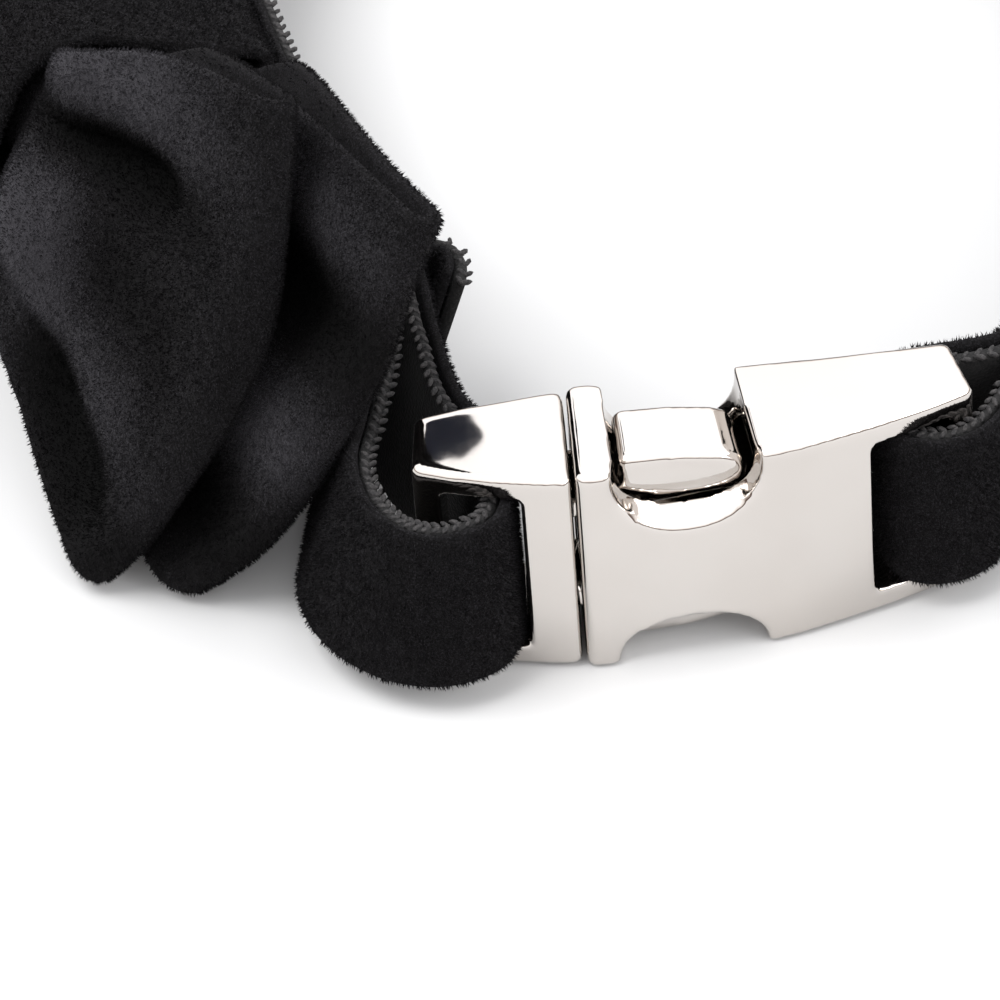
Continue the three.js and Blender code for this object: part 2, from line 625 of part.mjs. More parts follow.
function bowLoop(loop) {
  const around = [];
  for (const side of [1, -1]) {
    const half = [{ side, t: 0, turn: 0, centre: true }];
    for (let i = 0; i < FRONT_COLUMNS; i += 1) half.push({ side, t: i / FRONT_COLUMNS, turn: 0 });
    for (let i = 0; i <= TURN_COLUMNS; i += 1) {
      half.push({ side, t: 1, turn: (Math.PI * i) / TURN_COLUMNS });
    }
    for (let i = BACK_COLUMNS - 1; i >= 0; i -= 1) {
      half.push({ side, t: i / BACK_COLUMNS, turn: Math.PI });
    }
    half.push({ side, t: 0, turn: Math.PI, centre: true });
    if (side < 0) half.reverse();
    around.push(...half.slice(0, -1));
  }
  const grid = around.map(({ side, t, turn, centre }) =>
    Array.from({ length: BOW_ROWS + 1 }, (_, row) => {
      const v = -1 + (2 * row) / BOW_ROWS;
      const ease = Math.sin((Math.PI / 2) * t);
      const low = Math.max(0, -v) ** LOW_FLARE_POWER;
      const endFront = loop.endFront + loop.lowFlareFront * low;
      const endBack = loop.endBack + loop.lowFlareBack * low;
      const round =
        loop.knotRound * v ** KNOT_ROUND_POWER * (1 - smoothstep(t, 0, KNOT_ROUND_SHARE));
      const puff = loop.puff * (t / PUFF_SHARE) ** 2 * Math.exp(2 - (2 * t) / PUFF_SHARE);
      const front = lerp(loop.knotFront, endFront, ease) + puff - round;
      const back = lerp(loop.knotBack, endBack, ease);
      const endRadius = (endFront - endBack) / 2;
      const frontN = front + foldRise(loop.folds, t, v);
      const backN = back + foldRise(BACK_FOLDS, t, v);
      const n = lerp(backN, frontN, (1 + Math.cos(turn)) / 2);
      const slant = v > 0 ? loop.slantTop : loop.slantBottom;
      const sweep = v > 0 ? loop.sweepTop : loop.sweepBottom;
      const reach = loop.reach * (1 - sweep * v * v) + slant * v - endRadius;
      const s = centre ? 0 : lerp(KNOT_HALF_WIDTH, reach, t) + endRadius * Math.sin(turn);
      return bowPoint(side * s, v * clothHalfHeight(loop, s, n, v), n);
    }),
  );
  return clothWall(grid, BOW_WALL, true);
}

// Knot band: a ring of cloth round both loops, sewn to the strap's velvet behind them
function knotBand() {
  const front = BOW_LOOPS.bow_front.knotFront + BOW_WALL / 2 + KNOT_EASE + KNOT_WALL / 2;
  const back = KNOT_WALL / 2;
  const halfHeight = KNOT_HALF_HEIGHT + KNOT_EASE + KNOT_WALL / 2;
  const corners = [
    { h: halfHeight, n: back, r: KNOT_BACK_RADIUS, from: -90 },
    { h: halfHeight, n: front, r: KNOT_FRONT_RADIUS, from: 0 },
    { h: -halfHeight, n: front, r: KNOT_FRONT_RADIUS, from: 90 },
    { h: -halfHeight, n: back, r: KNOT_BACK_RADIUS, from: 180 },
  ];
  const ring = corners.flatMap(({ h, n, r, from }) => {
    const centreH = h - Math.sign(h) * r;
    const centreN = n === back ? n + r : n - r;
    return Array.from({ length: KNOT_CORNER_STEPS + 1 }, (_, i) => {
      const angle = radians(from + (90 * i) / KNOT_CORNER_STEPS);
      return { h: centreH + r * Math.cos(angle), n: centreN + r * Math.sin(angle) };
    });
  });
  const grid = ring.map(({ h, n }) =>
    [-1, -0.5, 0, 0.5, 1].map((w) => {
      const crown = (KNOT_CROWN * (1 - w * w) * (n - back)) / front;
      return bowPoint(w * KNOT_HALF_WIDTH, h, n + crown);
    }),
  );
  return clothWall(grid, KNOT_WALL, true);
}

const polishedMetal = { color: 0xd8d4cf, roughness: 0.08, metalness: 1 };
const blackVelvet = { color: 0x121215, roughness: 1, metalness: 0 };
const blackWebbing = { color: 0x232224, roughness: 0.85, metalness: 0 };

const pieces = [
  ["buckle_male", geometryOf(buckleMale()), polishedMetal],
  ["buckle_female", geometryOf(buckleFemale()), polishedMetal],
  ["release_lever_top", geometryOf(releaseLever(1)), polishedMetal],
  ["release_lever_bottom", geometryOf(releaseLever(-1)), polishedMetal],
  ["collar_webbing", strapLayer(WEBBING_WIDTH, WEBBING_THICKNESS, -1), blackWebbing],
  ["velvet_facing", strapLayer(VELVET_WIDTH, VELVET_THICKNESS, 1), blackVelvet],
  ["bow_front", bowLoop(BOW_LOOPS.bow_front), blackVelvet],
  ["bow_back", bowLoop(BOW_LOOPS.bow_back), blackVelvet],
  ["bow_knot", knotBand(), blackVelvet],
];

const collar = new THREE.Group();
for (const [name, geometry, finish] of pieces) {
  const mesh = new THREE.Mesh(geometry, new THREE.MeshStandardMaterial(finish));
  mesh.name = name;
  collar.add(mesh);
}

// The origin is the middle of the footprint on the surface that the collar stands on
const extent = new THREE.Box3().setFromObject(collar);
const centre = extent.getCenter(new THREE.Vector3());
collar.position.set(-centre.x, -centre.y, -extent.min.z);

export default collar;
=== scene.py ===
"""Looks of the pet bow tie collar: pile velvet, corded webbing and a polished cast buckle.

Lengths are millimetres in the plan frame of the part's source, where the buckle is centred on the
origin, until a mesh is made. Meshes are in metres in the row frame.
"""
import math

import bpy
import numpy as np
from mathutils import Matrix, Vector


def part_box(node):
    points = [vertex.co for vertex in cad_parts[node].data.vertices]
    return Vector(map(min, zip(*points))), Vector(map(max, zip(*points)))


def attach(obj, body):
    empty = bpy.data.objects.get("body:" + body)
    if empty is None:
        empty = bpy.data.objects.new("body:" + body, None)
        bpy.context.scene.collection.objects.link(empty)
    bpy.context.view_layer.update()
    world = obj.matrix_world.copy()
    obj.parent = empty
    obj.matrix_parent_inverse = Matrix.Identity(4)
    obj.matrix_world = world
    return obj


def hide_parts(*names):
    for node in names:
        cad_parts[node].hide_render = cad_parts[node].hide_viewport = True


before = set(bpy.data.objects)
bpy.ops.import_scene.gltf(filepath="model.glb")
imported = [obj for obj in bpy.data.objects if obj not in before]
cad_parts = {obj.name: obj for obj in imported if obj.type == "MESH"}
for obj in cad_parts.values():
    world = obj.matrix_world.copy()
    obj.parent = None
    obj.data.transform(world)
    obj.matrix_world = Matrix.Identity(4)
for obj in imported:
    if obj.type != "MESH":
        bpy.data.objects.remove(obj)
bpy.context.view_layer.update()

MM = 0.001
# Lowest corner of the socket half in the plan frame: it ties the plan frame to the row frame
SOCKET_CORNER = np.array([-14.4205, -6.6750, 0.0])
ORIGIN = np.array(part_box("buckle_female")[0]) / MM - SOCKET_CORNER


def metres(points):
    return (np.asarray(points, float) + ORIGIN) * MM


TARGET = (-20.88, 6.16, 14.0)
VIEW_AZIMUTH, VIEW_ELEVATION, VIEW_ROLL = -5.48, 46.49, -4.66
VIEW_DISTANCE = 700.0
LENS = 245.4


def add_camera():
    a, e, r = (math.radians(x) for x in (VIEW_AZIMUTH, VIEW_ELEVATION, VIEW_ROLL))
    back = Vector((math.sin(a) * math.cos(e), -math.cos(a) * math.cos(e), math.sin(e)))
    level = Vector((math.cos(a), math.sin(a), 0))
    rise = back.cross(level)
    right = level * math.cos(r) + rise * math.sin(r)
    up = rise * math.cos(r) - level * math.sin(r)
    data = bpy.data.cameras.new("camera")
    data.lens = LENS
    data.sensor_width = 36
    data.clip_start, data.clip_end = 0.02, 20
    camera = bpy.data.objects.new("camera", data)
    bpy.context.scene.collection.objects.link(camera)
    place = Vector(metres(TARGET)) + back * VIEW_DISTANCE * MM
    camera.matrix_world = Matrix.Translation(place) @ Matrix((right, up, back)).transposed().to_4x4()
    bpy.context.scene.camera = camera


def area_light(name, place, size, power):
    data = bpy.data.lights.new(name, "AREA")
    data.shape = "RECTANGLE"
    data.size, data.size_y = size
    data.energy = power
    lamp = bpy.data.objects.new(name, data)
    bpy.context.scene.collection.objects.link(lamp)
    lamp.location = place
    lamp.rotation_euler = (-Vector(place)).to_track_quat("-Z", "Y").to_euler()


def new_material(name):
    material = bpy.data.materials.new(name)
    material.use_nodes = True
    tree = material.node_tree
    return material, tree, tree.nodes["Principled BSDF"]


def add_node(tree, kind, **inputs):
    node = tree.nodes.new(kind)
    for key, value in inputs.items():
        node.inputs[key.replace("_", " ")].default_value = value
    return node


def noise(tree, scale, detail=2.0, roughness=0.5):
    coords = tree.nodes.new("ShaderNodeTexCoord")
    texture = add_node(tree, "ShaderNodeTexNoise", Scale=scale, Detail=detail, Roughness=roughness)
    tree.links.new(coords.outputs["Object"], texture.inputs["Vector"])
    return texture


def ramp(tree, source, stops):
    node = tree.nodes.new("ShaderNodeValToRGB")
    elements = node.color_ramp.elements
    while len(elements) < len(stops):
        elements.new(0.5)
    for element, (place, colour) in zip(elements, stops):
        element.position = place
        element.color = (*colour, 1)
    tree.links.new(source, node.inputs["Fac"])
    return node


def bump(tree, height, distance, strength=1.0, normal=None):
    node = add_node(tree, "ShaderNodeBump", Distance=distance, Strength=strength)
    tree.links.new(height, node.inputs["Height"])
    if normal is not None:
        tree.links.new(normal, node.inputs["Normal"])
    return node


# Name of the painted fold shading of a point: painted shade that darkens the velvet deep in a fold, and
# painted highlight that lightens it on a ridge
FOLD_SHADE_AND_HIGHLIGHT = "crease"
# Place on the ramp and colour: from dark specks and painted shade at the bottom of a crease to light
# specks and painted highlight on top of a fold
PILE_SPECK_AND_FOLD_SHADE = [
    (0.2, (0.0003, 0.0003, 0.0003)),
    (0.5, (0.0026, 0.0023, 0.0026)),
    (0.8, (0.018, 0.0172, 0.0195)),
]
SHEEN_SPECK_AND_FOLD_SHADE = [
    (0.2, (0.001, 0.001, 0.001)),
    (0.5, (0.0085, 0.008, 0.009)),
    (0.8, (0.085, 0.082, 0.092)),
]
# From the gaps between the yarns to the yarns, and the metal's slightly uneven plating
YARN_SHADES = [(0.3, (0.004, 0.004, 0.0045)), (0.75, (0.028, 0.026, 0.026))]
METAL_SHADES = [(0.3, (0.575, 0.54, 0.507)), (0.7, (0.62, 0.588, 0.558))]
METAL_ROUGHNESS = (0.03, 0.08)


def lifted(shades, lift):
    """The shades with their colours scaled."""
    return [(place, tuple(lift * c for c in colour)) for place, colour in shades]


def velvet_material(name, lift=1.0, sheen=0.8):
    """Dark velvet with random specks, darker and duller where painted shade lies in the creases and
    lighter where painted highlight lies on the ridges. lift scales its colours.
    """
    material, tree, shader = new_material(name)
    speck = noise(tree, scale=4200, detail=3, roughness=0.75)
    swell = noise(tree, scale=260)
    crease = tree.nodes.new("ShaderNodeAttribute")
    crease.attribute_name = FOLD_SHADE_AND_HIGHLIGHT
    depth = tree.nodes.new("ShaderNodeMath")
    depth.operation = "SUBTRACT"
    tree.links.new(speck.outputs["Fac"], depth.inputs[0])
    tree.links.new(crease.outputs["Fac"], depth.inputs[1])
    # The painted fold shade darkens, and the painted fold highlight lightens, both the colour and the
    # sheen tint
    for socket, shades in (("Base Color", PILE_SPECK_AND_FOLD_SHADE), ("Sheen Tint", SHEEN_SPECK_AND_FOLD_SHADE)):
        tint = ramp(tree, depth.outputs[0], lifted(shades, lift))
        tree.links.new(tint.outputs["Color"], shader.inputs[socket])
    shader.inputs["Roughness"].default_value = 0.95
    shader.inputs["Specular IOR Level"].default_value = 0.12
    shader.inputs["Sheen Weight"].default_value = sheen
    shader.inputs["Sheen Roughness"].default_value = 0.42
    fine = bump(tree, speck.outputs["Fac"], distance=0.0004)
    coarse = bump(
        tree, swell.outputs["Fac"], distance=0.0006, strength=0.25, normal=fine.outputs["Normal"]
    )
    tree.links.new(coarse.outputs["Normal"], shader.inputs["Normal"])
    return material


def webbing_material(name, lift):
    """Matt black yarn. lift scales its colours."""
    material, tree, shader = new_material(name)
    speck = noise(tree, scale=3200)
    tint = ramp(tree, speck.outputs["Fac"], lifted(YARN_SHADES, lift))
    tree.links.new(tint.outputs["Color"], shader.inputs["Base Color"])
    shader.inputs["Roughness"].default_value = 0.7
    shader.inputs["Specular IOR Level"].default_value = 0.2
    shader.inputs["Sheen Weight"].default_value = 0.05
    shader.inputs["Sheen Roughness"].default_value = 0.5
    relief = bump(tree, speck.outputs["Fac"], distance=0.0002, strength=0.8)
    tree.links.new(relief.outputs["Normal"], shader.inputs["Normal"])
    return material


def metal_material():
    material, tree, shader = new_material("polished_metal")
    wave = noise(tree, scale=55)
    grain = noise(tree, scale=900)
    tint = ramp(tree, wave.outputs["Fac"], METAL_SHADES)
    tree.links.new(tint.outputs["Color"], shader.inputs["Base Color"])
    rough = add_node(tree, "ShaderNodeMapRange", To_Min=METAL_ROUGHNESS[0], To_Max=METAL_ROUGHNESS[1])
    tree.links.new(grain.outputs["Fac"], rough.inputs["Value"])
    tree.links.new(rough.outputs["Result"], shader.inputs["Roughness"])
    shader.inputs["Metallic"].default_value = 1
    relief = bump(tree, wave.outputs["Fac"], distance=0.0002, strength=0.2)
    tree.links.new(relief.outputs["Normal"], shader.inputs["Normal"])
    return material


VELVET = velvet_material("black_velvet")
PILE = velvet_material("velvet_pile", lift=1.4, sheen=0.6)
WEBBING = webbing_material("black_webbing", lift=0.4)
CHAIN = webbing_material("webbing_chain", lift=1.5)
METAL = metal_material()


def mesh_object(name, points, faces, material, body="collar", crease=None):
    """Smooth shaded piece on a body, from points in metres. crease: painted shade for each point by how
    deep it lies in a fold, negative for painted highlight on a ridge.
    """
    mesh = bpy.data.meshes.new(name)
    points = np.asarray(points, np.float32).reshape(-1, 3)
    faces = np.asarray(faces, np.int32)
    count, sides = faces.shape
    mesh.vertices.add(len(points))
    mesh.vertices.foreach_set("co", points.ravel())
    mesh.loops.add(count * sides)
    mesh.loops.foreach_set("vertex_index", faces.ravel())
    mesh.polygons.add(count)
    mesh.polygons.foreach_set("loop_start", np.arange(count, dtype=np.int32) * sides)
    mesh.update(calc_edges=True)
    mesh.validate()
    mesh.polygons.foreach_set("use_smooth", np.ones(len(mesh.polygons), bool))
    mesh.materials.append(material)
    # Painted fold shade and highlight of each point, read by the velvet's colour and sheen tint
    if crease is not None:
        layer = mesh.attributes.new(FOLD_SHADE_AND_HIGHLIGHT, "FLOAT", "POINT")
        layer.data.foreach_set("value", np.asarray(crease, np.float32).ravel())
    piece = bpy.data.objects.new(name, mesh)
    bpy.context.scene.collection.objects.link(piece)
    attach(piece, body)
    return piece


def unit(vectors):
    return vectors / np.maximum(np.linalg.norm(vectors, axis=-1, keepdims=True), 1e-9)


def grid_normals(grid, closed):
    """Normals of a grid of points, its first axis running along the cloth and its second up it."""
    if closed:
        along = np.roll(grid, -1, 0) - np.roll(grid, 1, 0)
    else:
        along = np.gradient(grid, axis=0)
    return unit(np.cross(along, np.gradient(grid, axis=1)))


def cloth(name, grid, thickness, closed, material, crease=None):
    """Wall of cloth round a grid of middle points, rounded off along its upper and lower edges."""
    normals = grid_normals(grid, closed)
    columns, rows = grid.shape[:2]
    height = np.linalg.norm(np.diff(grid, axis=1), axis=2)
    low = np.concatenate([np.zeros((columns, 1)), np.cumsum(height, 1)], 1)
    edge = np.minimum(low, low[:, -1:] - low)
    share = np.clip(edge / (thickness / 2), 0, 1)
    half = (thickness / 2 * np.sqrt(1 - (1 - share) ** 2))[..., None]
    outer = grid + normals * half
    inner = grid - normals * half
    points = np.concatenate([outer.reshape(-1, 3), inner.reshape(-1, 3)])
    shift = columns * rows
    spans = columns if closed else columns - 1
    i = np.repeat(np.arange(spans), rows - 1)
    j = np.tile(np.arange(rows - 1), spans)
    a, b = i * rows + j, ((i + 1) % columns) * rows + j
    faces = [np.stack([a, b, b + 1, a + 1], 1), np.stack([a + 1, b + 1, b, a], 1) + shift]
    if not closed:
        j = np.arange(rows - 1)
        end = (columns - 1) * rows + j
        faces.append(np.stack([j, j + 1, j + 1 + shift, j + shift], 1))
        faces.append(np.stack([end + 1, end, end + shift, end + 1 + shift], 1))
    # The first and last rows have no thickness: the inner side uses the outer side's points there
    faces = np.concatenate(faces)
    inner_ids = faces >= shift
    row = (faces - shift * inner_ids) % rows
    faces = np.where(inner_ids & ((row == 0) | (row == rows - 1)), faces - shift, faces)
    # Both sides of the wall carry the same painted fold shade and highlight
    if crease is not None:
        crease = np.tile(crease.ravel(), 2)
    return mesh_object(name, metres(points), faces, material, crease=crease)


WEBBING_WIDTH, WEBBING_THICKNESS = 20.0, 1.3
VELVET_WIDTH, VELVET_THICKNESS = 21.0, 1.1
TOUCH_GAP = 0.3
STRAP_COLUMNS, STRIP_ROWS, EDGE_STEPS, ROUTE_SAMPLES = 600, 11, 5, 6001
# Faint waves of the velvet strip: height, and mm along it for each radian of the long and the short one
RIPPLE, LONG_RIPPLE, SHORT_RIPPLE = 0.06, 5.3, 2.1
# Knots of the chain: spacing, size, depth of the outer row from the strap's middle, and slant
CHAIN_PITCH, CHAIN_HALF_LENGTH, CHAIN_RADIUS = 1.3, 0.72, 0.3
CHAIN_DEPTH, CHAIN_TURN, CHAIN_TURN_SPREAD = 0.75, math.radians(42), 0.16
# In knot radii: how far the rows sink into the webbing's edge, and the step between them
CHAIN_SINK, CHAIN_ROW_STEP = 0.2, 2.3
CHAIN_SIZES = (0.85, 1.12)
CHAIN_SEED = 21
STRAP_Z, BACK_Z, KNOT_Z = 14.1, 10.5, 17.0
RING_SIDE, RING_BACK = 63.5, 134.0

# x, y, z of the strap's middle and how far its top edge tips over in X and Y for each mm of height
STRAP_ROUTE = np.array([
    (-24.9, 29.0, STRAP_Z, 0.34, 0.05),
    (-24.3, 31.2, STRAP_Z, 0.34, 0.05),
    (-24.9, 33.7, STRAP_Z, 0.34, 0.05),
    (-27.0, 34.4, STRAP_Z, 0.34, 0.05),
    (-28.5, 32.2, STRAP_Z, 0.33, 0.05),
    (-28.6, 29.0, STRAP_Z, 0.33, 0.04),
    (-28.2, 21.0, STRAP_Z, 0.31, 0),
    (-26.4, 12.5, STRAP_Z, 0.2, 0),
    (-22.6, 6.0, STRAP_Z, 0.07, 0),
    (-21.2, 0.0, STRAP_Z, 0, 0),
    (-23.2, -5.9, STRAP_Z, 0, 0.03),
    (-26.8, -7.3, STRAP_Z, 0, 0.05),
    (-29.9, -7.2, STRAP_Z, 0.03, 0.06),
    (-33.3, -5.6, STRAP_Z, 0.12, 0.06),
    (-36.1, -2.5, STRAP_Z, 0.22, 0.05),
    (-37.8, 1.4, STRAP_Z, 0.3, 0.03),
    (-38.2, 6.0, STRAP_Z, 0.35, 0),
    (-36.8, 11.0, STRAP_Z, 0.38, 0),
    (-34.3, 19.0, STRAP_Z, 0.4, 0),
    (-32.5, 28.0, STRAP_Z + 0.3, 0.4, 0),
    (-32.8, 39.0, STRAP_Z + 1.1, 0.42, 0),
    (-35.8, 52.0, KNOT_Z - 0.5, 0.45, 0.03),
    (-38.6, 63.0, KNOT_Z, 0.48, 0.06),
    (-39.8, 70.5, KNOT_Z, 0.484, 0.06),
    (-40.7, 78.0, KNOT_Z, 0.48, 0.06),
    (-40.7, 87.0, KNOT_Z - 1, 0.38, 0),
    (-37.5, 99.0, KNOT_Z - 3, 0.2, -0.05),
    (-0.449 * RING_SIDE, 0.858 * RING_BACK, BACK_Z + 1, 0.05, -0.03),
    (-0.22 * RING_SIDE, 0.951 * RING_BACK, BACK_Z, 0, 0),
    (0.079 * RING_SIDE, RING_BACK, BACK_Z, 0, 0),
    (0.394 * RING_SIDE, 0.989 * RING_BACK, BACK_Z, 0, 0),
    (0.661 * RING_SIDE, 0.922 * RING_BACK, BACK_Z, 0, 0),
    (0.858 * RING_SIDE, 0.813 * RING_BACK, BACK_Z, 0, 0),
    (0.969 * RING_SIDE, 0.679 * RING_BACK, BACK_Z + 0.3, 0, 0),
    (RING_SIDE, 0.537 * RING_BACK, BACK_Z + 0.9, 0, 0),
    (0.961 * RING_SIDE, 0.396 * RING_BACK, BACK_Z + 1.8, 0, 0),
    (0.858 * RING_SIDE, 0.261 * RING_BACK, BACK_Z + 2.8, 0, 0),
    (45.0, 19.0, STRAP_Z - 0.2, 0, 0),
    (37.0, 8.2, STRAP_Z, 0, 0),
    (31.6, 1.2, STRAP_Z, 0, 0),
    (28.8, -2.2, STRAP_Z, 0, 0),
    (25.8, -4.0, STRAP_Z, 0, 0),
    (22.0, -4.1, STRAP_Z, 0, 0),
    (19.5, -2.4, STRAP_Z, 0, 0),
    (18.7, 1.5, STRAP_Z, 0, 0),
    (19.4, 5.4, STRAP_Z, 0, 0),
    (21.6, 7.4, STRAP_Z, 0, 0),
    (25.2, 7.8, STRAP_Z, 0, 0),
    (29.0, 7.8, STRAP_Z, 0, 0),
    (32.2, 8.4, STRAP_Z, 0, 0),
    (34.6, 11.0, STRAP_Z, 0, 0),
    (42.0, 21.0, STRAP_Z - 0.2, 0, 0),
    (47.0, 29.4, STRAP_Z - 0.4, 0, 0),
])
KNOT_ROW = 23


def strap_places(share):
    """Points of the centripetal spline through the route, share running from 0 to 1."""
    points = STRAP_ROUTE[:, :3]
    points = np.concatenate([2 * points[:1] - points[1:2], points, 2 * points[-1:] - points[-2:-1]])
    place = np.clip(share, 0, 1) * (len(STRAP_ROUTE) - 1)
    row = np.minimum(place.astype(int), len(STRAP_ROUTE) - 2)
    t = (place - row)[:, None]
    p0, p1, p2, p3 = (points[row + k] for k in range(4))
    d0, d1, d2 = (
        np.sqrt(np.linalg.norm(b - a, axis=1, keepdims=True)) for a, b in ((p0, p1), (p1, p2), (p2, p3))
    )
    m1 = ((p1 - p0) / d0 - (p2 - p0) / (d0 + d1) + (p2 - p1) / d1) * d1
    m2 = ((p2 - p1) / d1 - (p3 - p1) / (d1 + d2) + (p3 - p2) / d2) * d1
    return (
        p1 + m1 * t + (3 * (p2 - p1) - 2 * m1 - m2) * t**2 + (2 * (p1 - p2) + m1 + m2) * t**3
    )


def strap_frames(share):
    """Places, tangents, ups and outward normals of the strap at the given shares of its route."""
    step = 1e-4
    tangent = strap_places(share + step) - strap_places(share - step)
    tangent[:, 2] = 0
    tangent = unit(tangent)
    rows = np.arange(len(STRAP_ROUTE))
    place = np.clip(share, 0, 1) * rows[-1]
    tips = [np.interp(place, rows, STRAP_ROUTE[:, k]) for k in (3, 4)]
    up = unit(np.stack([*tips, np.ones_like(place)], 1))
    return strap_places(share), tangent, up, unit(np.cross(up, tangent))


def even_shares(count):
    """Shares of the route at even distances along the strap, and the strap's length."""
    fine = np.linspace(0, 1, ROUTE_SAMPLES)
    places = strap_places(fine)
    length = np.concatenate([[0], np.cumsum(np.linalg.norm(np.diff(places, axis=0), axis=1))])
    return np.interp(np.linspace(0, length[-1], count), length, fine), length[-1]


STRAP_SHARES, STRAP_LENGTH = even_shares(STRAP_COLUMNS)


def edge_spacing(rows, edge, width):
    """Heights across a strip, close together at its two edges so that they come out round."""
    curve = edge * (1 - np.cos(np.linspace(0, math.pi / 2, EDGE_STEPS)))
    middle = np.linspace(edge, width - edge, rows)
    return np.concatenate([curve[:-1], middle, width - curve[::-1][1:]]) - width / 2


def strap_strip(name, width, thickness, side, material, ripple=0.0):
    """One layer of the strap. side: 1 for the outer layer and -1 for the inner one."""
    place, _, up, normal = strap_frames(STRAP_SHARES)
    heights = edge_spacing(STRIP_ROWS, thickness / 2, width)
    offset = side * (thickness + TOUCH_GAP) / 2
    middle = place + normal * offset
    grid = middle[:, None] + up[:, None] * heights[None, :, None]
    if ripple:
        run = np.linspace(0, STRAP_LENGTH, len(STRAP_SHARES))[:, None]
        long_wave = np.sin(run / LONG_RIPPLE + heights[None] * 0.35)
        short_wave = np.sin(run / SHORT_RIPPLE - heights[None] * 0.5)
        wave = ripple * (long_wave * 0.6 + short_wave * 0.4)
        grid = grid + normal[:, None] * wave[..., None]
    return cloth(name, grid, thickness, False, material), grid


webbing, webbing_grid = strap_strip(
    "collar_webbing_strip", WEBBING_WIDTH, WEBBING_THICKNESS, -1, WEBBING
)
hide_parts("collar_webbing")


def small_ball(ring_steps=6, rows=3):
    """Points and triangles of a ball of radius 1."""
    theta = np.linspace(0, 2 * math.pi, ring_steps, endpoint=False)
    phi = np.linspace(0, math.pi, rows + 2)[1:-1]
    ball = [(0, 0, 1.0)]
    for f in phi:
        ball += [(math.cos(t) * math.sin(f), math.sin(t) * math.sin(f), math.cos(f)) for t in theta]
    ball = np.array(ball + [(0, 0, -1.0)])
    last = len(ball) - 1
    faces = []
    for k in range(ring_steps):
        n = (k + 1) % ring_steps
        faces.append((0, 1 + k, 1 + n))
        for r in range(rows - 1):
            a, b = 1 + r * ring_steps + k, 1 + r * ring_steps + n
            faces += [(a, a + ring_steps, b + ring_steps), (a, b + ring_steps, b)]
        faces.append((last, last - ring_steps + n, last - ring_steps + k))
    return ball, np.array(faces)


def add_selvedge():
    """Chain of small twisted knots sewn along both edges of the webbing, in two rows."""
    count = int(STRAP_LENGTH / CHAIN_PITCH)
    place, tangent, up, normal = strap_frames(even_shares(count)[0])
    ball, faces = small_ball()
    points, shapes = [], []
    rng = np.random.default_rng(CHAIN_SEED)
    for edge, row in ((-1, 0), (-1, 1), (1, 0), (1, 1)):
        seat = (WEBBING_WIDTH / 2 - CHAIN_RADIUS * CHAIN_SINK) * edge
        centre = place + up * seat - normal * (CHAIN_DEPTH + row * CHAIN_RADIUS * CHAIN_ROW_STEP)
        slant = (CHAIN_TURN + rng.normal(0, CHAIN_TURN_SPREAD, (count, 1))) * (1 - 2 * row)
        size = rng.uniform(*CHAIN_SIZES, count)
        long_way = tangent * np.cos(slant) + normal * np.sin(slant)
        across = np.cross(up, long_way)
        for k in range(count):
            knot = ball * (CHAIN_HALF_LENGTH, CHAIN_RADIUS, CHAIN_RADIUS) * size[k]
            shapes.append(faces + len(ball) * len(points))
            points.append(centre[k] + knot @ np.stack([long_way[k], across[k], up[k]]))
    mesh_object(
        "collar_webbing_selvedge", metres(np.concatenate(points)), np.concatenate(shapes), CHAIN,
    )


add_selvedge()
facing, facing_grid = strap_strip(
    "velvet_facing_strip", VELVET_WIDTH, VELVET_THICKNESS, 1, VELVET, RIPPLE
)
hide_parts("velvet_facing")


BOW_WALL = 1.6
# Share of a loop's height that is spaced closely at each edge
BOW_EDGE_SHARE = 0.012
KNOT_LEAN = math.radians(26)
NEAR_YAW, FAR_YAW = math.radians(15.5), math.radians(-6)
YAW_START, YAW_LENGTH = 5.0, 15.0
KNOT_HALF_WIDTH, KNOT_HALF_HEIGHT = 9.0, 8.4
LOW_FLARE_POWER = 1.5
KNOT_ROUND_POWER = 4
KNOT_ROUND_SHARE = 0.2
PUFF_SHARE = 0.2
# Painted shade for each millimetre that a fold sinks, painted highlight for each millimetre that it
# rises, and their limit
FOLD_SHADE_SHARE, FOLD_SHADE_LIMIT = 0.14, 0.42

# v: place up the loop from -1 to 1; rise: height of the fold. Both at even stations from knot to end.
FRONT_FOLDS = [
    dict(v=(0.85, 0.85, 0.8, 0.75, 0.7), rise=(0, 2.8, 2.8, 1.4, 0.4), width=0.26),
    dict(v=(0.31, 0.38, 0.4, 0.42, 0.45), rise=(0, -6.0, -5.6, -0.8, 0), width=0.15),
    dict(v=(0.05, 0.02, -0.1, -0.12, -0.2), rise=(0, 1.6, -1.0, -0.6, 0), width=0.2),
    dict(v=(-0.16, -0.33, -0.4, -0.45, -0.6), rise=(0, 4.0, 1.6, 1.6, 0.8), width=0.2),
    dict(v=(-0.6, -0.66, -0.72, -0.76, -0.8), rise=(0, 0.6, -4.6, -3.6, -1.0), width=0.2),
    dict(v=(-1, -1, -1, -1, -1), rise=(0, 0.6, 0.6, 0.4, 0), width=0.14),
]
REAR_FOLDS = [
    dict(v=(0.6, 0.75, 0.78, 0.72, 0.7), rise=(0, 0.6, 1.2, 1.4, 0.8), width=0.2),
    dict(v=(0.1, 0.3, 0.3, 0.3, 0.3), rise=(0, -1.8, -3.4, -3.4, -1.4), width=0.2),
    dict(v=(-0.1, -0.3, -0.3, -0.2, -0.2), rise=(0, 0.5, 1.0, 2.2, 1.6), width=0.2),
    dict(v=(-0.5, -0.62, -0.7, -0.7, -0.7), rise=(-0.2, -1.2, -2.6, -2.8, -1.2), width=0.18),
]

